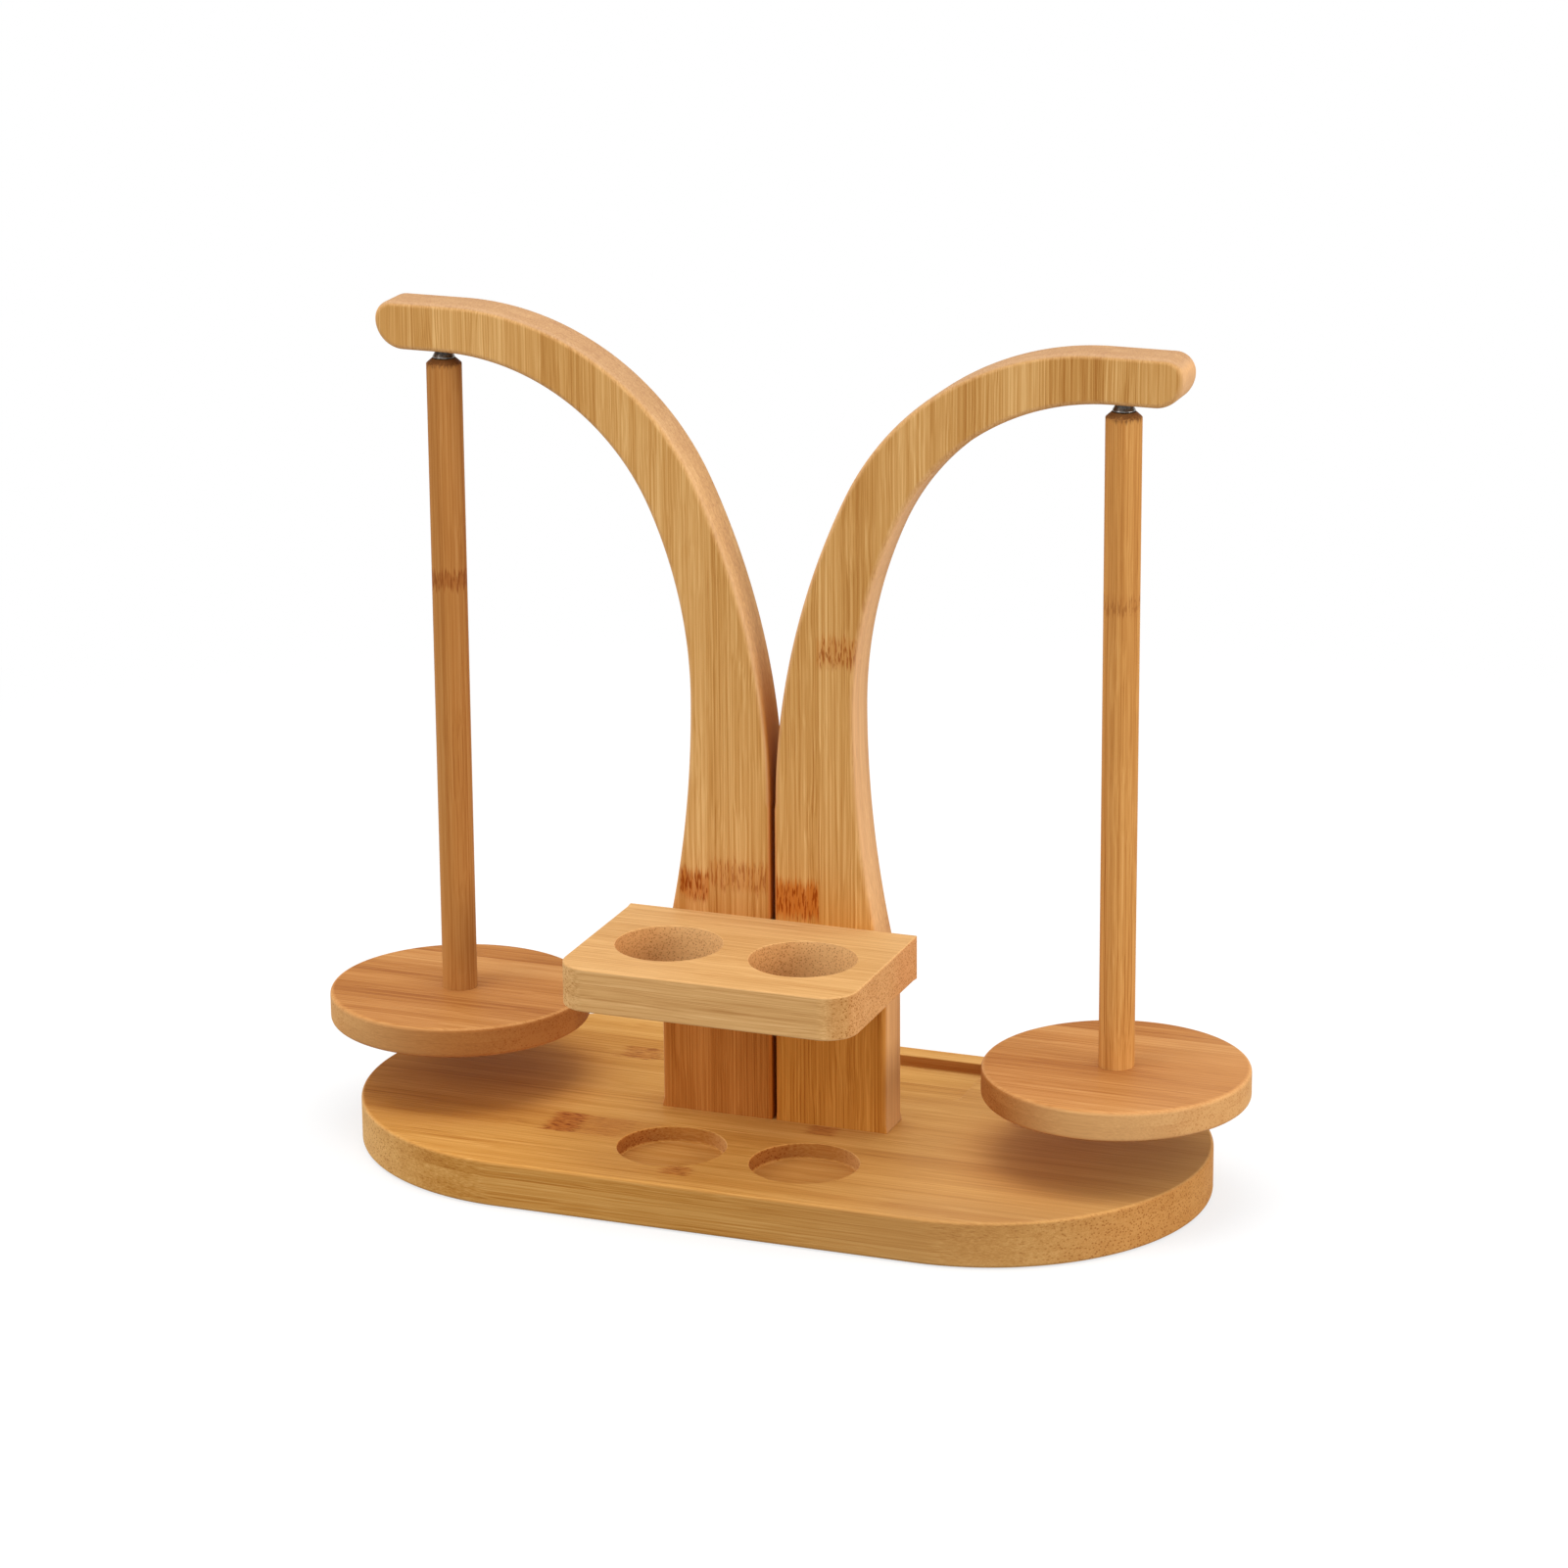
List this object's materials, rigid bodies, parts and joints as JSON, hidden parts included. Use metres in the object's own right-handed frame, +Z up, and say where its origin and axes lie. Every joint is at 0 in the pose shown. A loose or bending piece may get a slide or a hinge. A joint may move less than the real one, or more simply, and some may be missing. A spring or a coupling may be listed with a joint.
{
  "type": "yarn holder",
  "caption": "Bamboo yarn holder: base with tray and wells, curved arms with free-turning hanging spindles and plates, and a tool shelf with round holes.",
  "frame": {"origin": "middle of the underside of the base", "axes": "+X along the base to the right as seen from the front, +Y to the back, +Z up"},
  "size_m": [0.328, 0.152, 0.2905],
  "materials": {
    "base_bamboo": "lacquered bamboo, grain along the base",
    "arm_bamboo": "lacquered bamboo, upright grain",
    "shelf_bamboo": "lacquered bamboo, grain along the shelf",
    "rod_bamboo": "darker turned bamboo, grain along the rod",
    "plate_bamboo": "lacquered bamboo, grain across the plate",
    "tip_steel": "turned steel, slightly dulled",
    "cup_steel": "plated steel",
    "magnet": "nickel-plated magnet",
    "bush_brass": "turned brass",
    "screw_steel": "zinc-plated steel"
  },
  "bodies": {
    "stand": {"base_board": "base_bamboo", "left_arm": "arm_bamboo", "right_arm": "arm_bamboo", "arm_screws": "screw_steel", "tool_shelf": "shelf_bamboo", "shelf_screws": "screw_steel", "left_magnet_cup": "cup_steel", "left_magnet": "magnet", "right_magnet_cup": "cup_steel", "right_magnet": "magnet"},
    "left_swivel": {"left_swivel_pin": "tip_steel"},
    "left_spindle": {"left_spindle_rod": "rod_bamboo", "left_plate": "plate_bamboo", "left_plate_screw": "screw_steel", "left_swivel_bush": "bush_brass"},
    "right_swivel": {"right_swivel_pin": "tip_steel"},
    "right_spindle": {"right_spindle_rod": "rod_bamboo", "right_plate": "plate_bamboo", "right_plate_screw": "screw_steel", "right_swivel_bush": "bush_brass"}
  },
  "joints": [
    {"name": "left_release", "type": "slide", "parent": "stand", "child": "left_swivel", "axis": [0, -1, 0], "range_m": [0, 0.14]},
    {"name": "left_spin", "type": "hinge", "parent": "left_swivel", "child": "left_spindle", "pos_m": [-0.119, 0, 0.2668], "axis": [0, 0, 1], "continuous": true},
    {"name": "right_release", "type": "slide", "parent": "stand", "child": "right_swivel", "axis": [0, -1, 0], "range_m": [0, 0.14]},
    {"name": "right_spin", "type": "hinge", "parent": "right_swivel", "child": "right_spindle", "pos_m": [0.119, 0, 0.2668], "axis": [0, 0, 1], "continuous": true}
  ]
}
